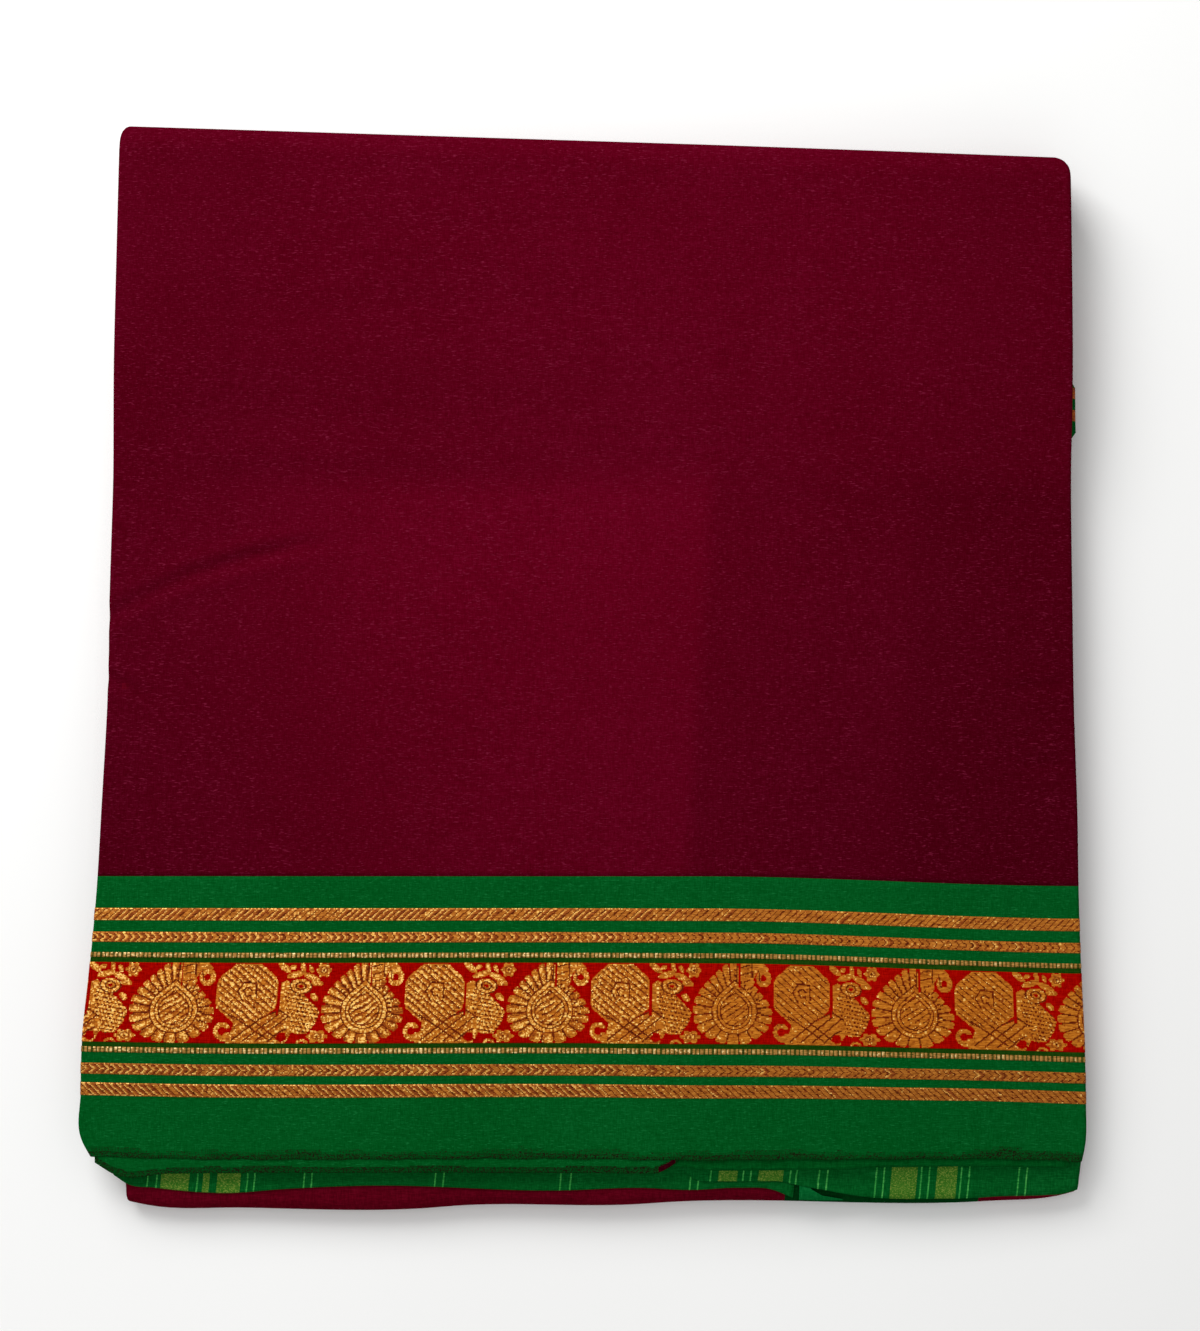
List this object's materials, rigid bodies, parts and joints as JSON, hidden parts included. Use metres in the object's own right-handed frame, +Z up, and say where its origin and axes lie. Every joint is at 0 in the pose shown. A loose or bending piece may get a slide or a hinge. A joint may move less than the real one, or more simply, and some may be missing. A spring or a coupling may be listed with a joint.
{
  "type": "folded cotton saree",
  "caption": "Cotton saree folded flat: maroon ground, green border with gold lines and a red peacock and mango band, lying on a surface.",
  "frame": {"origin": "middle of the footprint, on the surface the saree lies on", "axes": "+X along the folded cloth to the right, +Y from the bordered near edge to the far fold, +Z up"},
  "size_m": [0.3389, 0.3719, 0.0243],
  "materials": {
    "ground_cloth": "plain-woven cotton, matt, fine horizontal slubs",
    "border_cloth": "plain-woven green cotton with a soft sheen",
    "end_piece_cloth": "plain-woven green cotton with lighter stripes",
    "zari": "gold metallic weft floats, glossy"
  },
  "bodies": {
    "root": {"body_panel": "ground_cloth", "near_fold": "ground_cloth", "border_panel": "border_cloth", "second_border": "border_cloth", "end_piece_left": "end_piece_cloth", "end_piece_right": "end_piece_cloth", "turned_corner": "end_piece_cloth", "inner_layers": "ground_cloth"}
  },
  "joints": []
}
